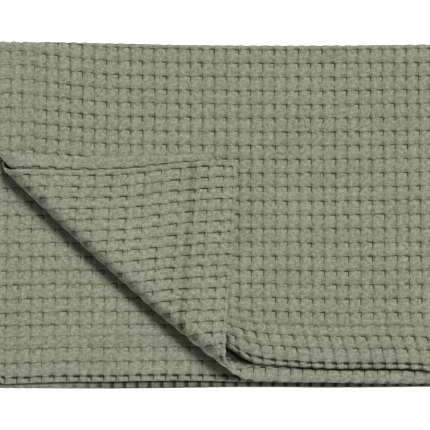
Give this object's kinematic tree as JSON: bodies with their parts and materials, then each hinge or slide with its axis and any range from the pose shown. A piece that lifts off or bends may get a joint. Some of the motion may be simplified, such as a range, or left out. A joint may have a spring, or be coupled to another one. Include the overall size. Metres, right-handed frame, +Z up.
{
  "type": "waffle weave cotton blanket",
  "caption": "Cotton waffle weave cot blanket lying folded in quarters, with a soft diagonal roll where its front left corner is turned back.",
  "frame": {"origin": "under the middle of the folded blanket's bounding box, on the surface that it lies on", "axes": "+Z up, +Y towards the folded back edge, +X towards the folded right edge; the hemmed edges face -X and -Y"},
  "size_m": [0.5058, 0.3832, 0.0332],
  "materials": {
    "cotton": "matte sage green cotton in a deep waffle weave"
  },
  "bodies": {
    "root": {"blanket": "cotton"}
  },
  "joints": []
}
